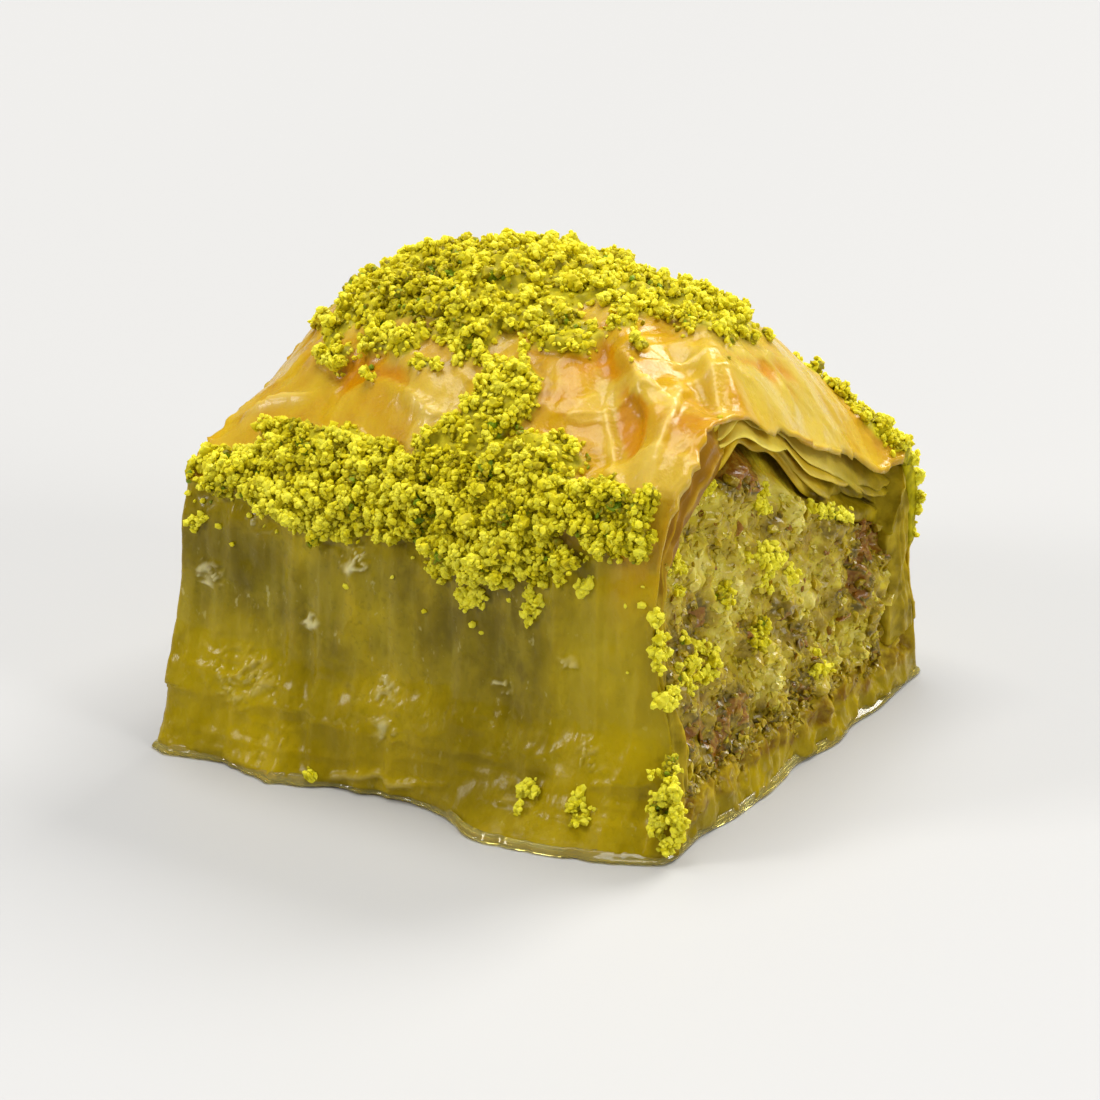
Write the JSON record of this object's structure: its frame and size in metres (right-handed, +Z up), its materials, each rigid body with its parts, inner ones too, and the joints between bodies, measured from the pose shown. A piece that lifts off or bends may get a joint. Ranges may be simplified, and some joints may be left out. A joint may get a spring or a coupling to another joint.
{
  "type": "baklava piece",
  "caption": "Square-cut piece of layered pistachio pastry with a domed flaky top, an open nut filling at the cut faces and ground pistachio strewn on it.",
  "frame": {"origin": "middle of the footprint, on the surface that the piece rests on", "axes": "+Z up; X runs between the two cut faces where the filling shows, with the corner crumbs at +X; -Y is the soaked pastry wall with the run-out foot"},
  "size_m": [0.0474, 0.0488, 0.0389],
  "materials": {
    "soaked_pastry": "syrup-soaked bottom pastry sheets, olive yellow, wet and glossy",
    "pistachio_filling": "ground pistachio filling, mottled olive and brown, moist and crumbly",
    "flaky_pastry": "baked pastry sheets, golden and glossy with syrup, olive where soaked"
  },
  "bodies": {
    "root": {"base_pastry": "soaked_pastry", "pistachio_filling": "pistachio_filling", "top_pastry": "flaky_pastry"}
  },
  "joints": []
}
